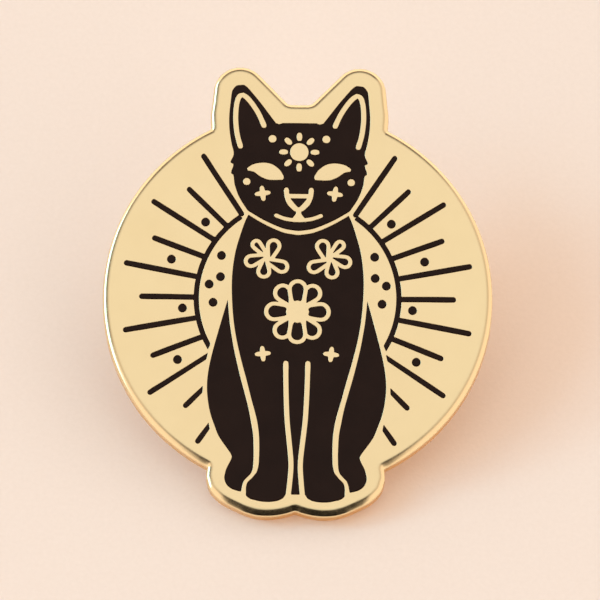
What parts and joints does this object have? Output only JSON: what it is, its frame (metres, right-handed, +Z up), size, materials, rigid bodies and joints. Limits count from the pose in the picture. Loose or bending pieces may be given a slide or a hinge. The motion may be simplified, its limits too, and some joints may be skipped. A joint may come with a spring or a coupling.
{
  "type": "enamel pin",
  "caption": "Gold-plated cat pin with black enamel cells and a rayed halo disc, on two nails with sprung butterfly clutches that slide off when their wings are squeezed.",
  "frame": {"origin": "on the table, under the middle of the pin's bounding box, with the pin resting on its feet and on the wings of its two clutches", "axes": "+X to the viewer's right, +Y from the viewer past the cat's feet towards its ears, +Z up; the face looks up and towards -Y"},
  "size_m": [0.0322, 0.0358, 0.0157],
  "materials": {
    "gold_plating": "polished pale gold plate",
    "nail_plating": "bright gold plate",
    "clutch_plating": "bright gold plate",
    "wing_plating": "bright gold plate",
    "black_enamel": "hard enamel polished flush"
  },
  "bodies": {
    "pin_body": {"plate": "gold_plating", "head_enamel": "black_enamel", "nose_enamel": "black_enamel", "torso_enamel": "black_enamel", "flower_petal_right": "black_enamel", "flower_petal_top_right": "black_enamel", "flower_petal_top": "black_enamel", "flower_petal_top_left": "black_enamel", "flower_petal_left": "black_enamel", "flower_petal_bottom_left": "black_enamel", "flower_petal_bottom": "black_enamel", "flower_petal_bottom_right": "black_enamel", "left_haunch_enamel": "black_enamel", "left_halo_arc_enamel": "black_enamel", "left_low_ray_1": "black_enamel", "left_low_ray_2": "black_enamel", "left_low_ray_3": "black_enamel", "left_outer_dot_1": "black_enamel", "left_outer_dot_2": "black_enamel", "left_outer_dot_3": "black_enamel", "left_outer_dot_4": "black_enamel", "left_inner_dot_1": "black_enamel", "left_inner_dot_2": "black_enamel", "left_inner_dot_3": "black_enamel", "left_inner_dot_4": "black_enamel", "left_small_petal_1": "black_enamel", "left_small_petal_2": "black_enamel", "left_small_petal_3": "black_enamel", "left_small_petal_4": "black_enamel", "left_small_petal_5": "black_enamel", "right_haunch_enamel": "black_enamel", "right_halo_arc_enamel": "black_enamel", "right_low_ray_1": "black_enamel", "right_low_ray_2": "black_enamel", "right_low_ray_3": "black_enamel", "right_outer_dot_1": "black_enamel", "right_outer_dot_2": "black_enamel", "right_outer_dot_3": "black_enamel", "right_outer_dot_4": "black_enamel", "right_inner_dot_1": "black_enamel", "right_inner_dot_2": "black_enamel", "right_inner_dot_3": "black_enamel", "right_inner_dot_4": "black_enamel", "right_small_petal_1": "black_enamel", "right_small_petal_2": "black_enamel", "right_small_petal_3": "black_enamel", "right_small_petal_4": "black_enamel", "right_small_petal_5": "black_enamel", "left_nail": "nail_plating", "right_nail": "nail_plating"},
    "left_clutch": {"left_clutch_cap": "clutch_plating"},
    "left_outer_wing": {"left_clutch_outer_wing": "wing_plating"},
    "left_inner_wing": {"left_clutch_inner_wing": "wing_plating"},
    "right_clutch": {"right_clutch_cap": "clutch_plating"},
    "right_outer_wing": {"right_clutch_outer_wing": "wing_plating"},
    "right_inner_wing": {"right_clutch_inner_wing": "wing_plating"}
  },
  "joints": [
    {"name": "left_clutch_slide", "type": "slide", "parent": "pin_body", "child": "left_clutch", "axis": [0, 0.3789, -0.9254], "range_m": [-0.0016, 0.006]},
    {"name": "left_outer_wing_squeeze", "type": "hinge", "parent": "left_clutch", "child": "left_outer_wing", "pos_m": [-0.0093, 0.00508, 0.00434], "axis": [0, -0.9254, -0.3789], "range_deg": [0, 12], "stiffness_Nm_per_rad": 0.02, "springref_deg": -2.86},
    {"name": "left_inner_wing_squeeze", "type": "hinge", "parent": "left_clutch", "child": "left_inner_wing", "pos_m": [-0.0047, 0.00508, 0.00434], "axis": [0, 0.9254, 0.3789], "range_deg": [0, 12], "stiffness_Nm_per_rad": 0.02, "springref_deg": -2.86},
    {"name": "right_clutch_slide", "type": "slide", "parent": "pin_body", "child": "right_clutch", "axis": [0, 0.3789, -0.9254], "range_m": [-0.0016, 0.006]},
    {"name": "right_outer_wing_squeeze", "type": "hinge", "parent": "right_clutch", "child": "right_outer_wing", "pos_m": [0.0093, 0.00508, 0.00434], "axis": [0, 0.9254, 0.3789], "range_deg": [0, 12], "stiffness_Nm_per_rad": 0.02, "springref_deg": -2.86},
    {"name": "right_inner_wing_squeeze", "type": "hinge", "parent": "right_clutch", "child": "right_inner_wing", "pos_m": [0.0047, 0.00508, 0.00434], "axis": [0, -0.9254, -0.3789], "range_deg": [0, 12], "stiffness_Nm_per_rad": 0.02, "springref_deg": -2.86}
  ]
}
